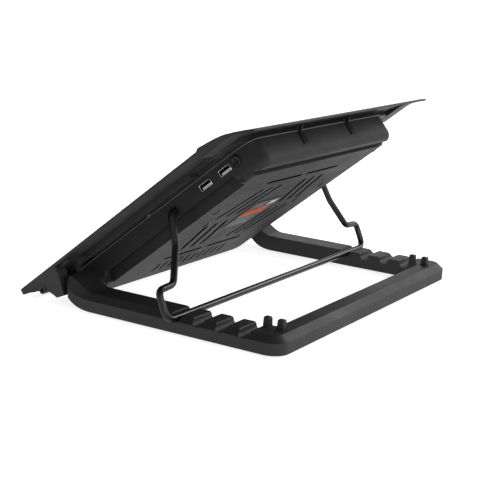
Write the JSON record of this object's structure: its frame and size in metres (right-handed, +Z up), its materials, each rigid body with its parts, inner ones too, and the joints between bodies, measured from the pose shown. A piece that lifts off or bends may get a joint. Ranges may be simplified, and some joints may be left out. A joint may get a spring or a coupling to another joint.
{
  "type": "laptop cooling pad",
  "caption": "Tilting laptop deck with a large fan under a slotted grille, carried by a U-shaped notched base frame and a bent wire prop.",
  "frame": {"origin": "on the desk, below the middle of the whole stand, with the deck propped at its steepest setting", "axes": "+X to the user's right, +Y away from the user towards the raised rear edge of the deck, +Z up"},
  "size_m": [0.366, 0.2619, 0.1765],
  "materials": {
    "frame_plastic": "fine matte texture",
    "deck_plastic": "fine matte texture",
    "casing_plastic": "satin",
    "grille_metal": "black powder coat",
    "wire_metal": "satin black",
    "pin_steel": "turned",
    "screw_steel": "black zinc",
    "port_metal": "nickel plated",
    "port_plastic": "moulded",
    "board_laminate": "solder mask",
    "fan_plastic": "satin",
    "knob_plastic": "satin",
    "rubber": "matte",
    "label_film": "printed film, no text"
  },
  "bodies": {
    "base": {"base_frame": "frame_plastic", "base_foot_1": "rubber", "base_foot_2": "rubber", "base_foot_3": "rubber", "base_foot_4": "rubber", "hinge_pin_left": "pin_steel", "hinge_pin_right": "pin_steel"},
    "deck": {"top_frame": "deck_plastic", "deck_grille": "grille_metal", "bottom_casing": "casing_plastic", "fan_motor": "fan_plastic", "rating_label": "label_film", "circuit_board": "board_laminate", "casing_screw_1": "screw_steel", "casing_screw_2": "screw_steel", "casing_screw_3": "screw_steel", "casing_screw_4": "screw_steel", "usb_shell_1": "port_metal", "usb_tongue_1": "port_plastic", "usb_shell_2": "port_metal", "usb_tongue_2": "port_plastic", "speed_dial_pot": "pin_steel", "rear_catch_left": "deck_plastic", "rear_catch_right": "deck_plastic", "bail_bush_left": "casing_plastic", "bail_bush_right": "casing_plastic", "stop_pin_left": "pin_steel", "stop_pin_right": "pin_steel", "grip_strip_front_left": "rubber", "grip_strip_front_right": "rubber", "grip_strip_rear_left": "rubber", "grip_strip_rear_right": "rubber"},
    "fan": {"fan_rotor": "fan_plastic"},
    "knob": {"speed_knob": "knob_plastic"},
    "bail": {"bail_wire": "wire_metal"},
    "stop_left": {"laptop_stop_left": "deck_plastic"},
    "stop_right": {"laptop_stop_right": "deck_plastic"}
  },
  "joints": [
    {"name": "deck_tilt", "type": "hinge", "parent": "base", "child": "deck", "pos_m": [0, -0.09128, 0.0161], "axis": [1, 0, 0], "range_deg": [0, 3.4]},
    {"name": "bail_swing", "type": "hinge", "parent": "deck", "child": "bail", "pos_m": [0, -0.00172, 0.09139], "axis": [1, 0, 0], "range_deg": [0, 93]},
    {"name": "fan_spin", "type": "hinge", "parent": "deck", "child": "fan", "pos_m": [0, -0.00974, 0.08367], "axis": [0, -0.6402, 0.7682], "continuous": true},
    {"name": "speed_turn", "type": "hinge", "parent": "deck", "child": "knob", "pos_m": [0.127, 0.05507, 0.14197], "axis": [1, 0, 0], "range_deg": [0, 270]},
    {"name": "stop_left_flip", "type": "hinge", "parent": "deck", "child": "stop_left", "pos_m": [-0.139, -0.1069, 0.01063], "axis": [1, 0, 0], "range_deg": [0, 90]},
    {"name": "stop_right_flip", "type": "hinge", "parent": "deck", "child": "stop_right", "pos_m": [0.139, -0.1069, 0.01063], "axis": [1, 0, 0], "range_deg": [0, 90]}
  ]
}
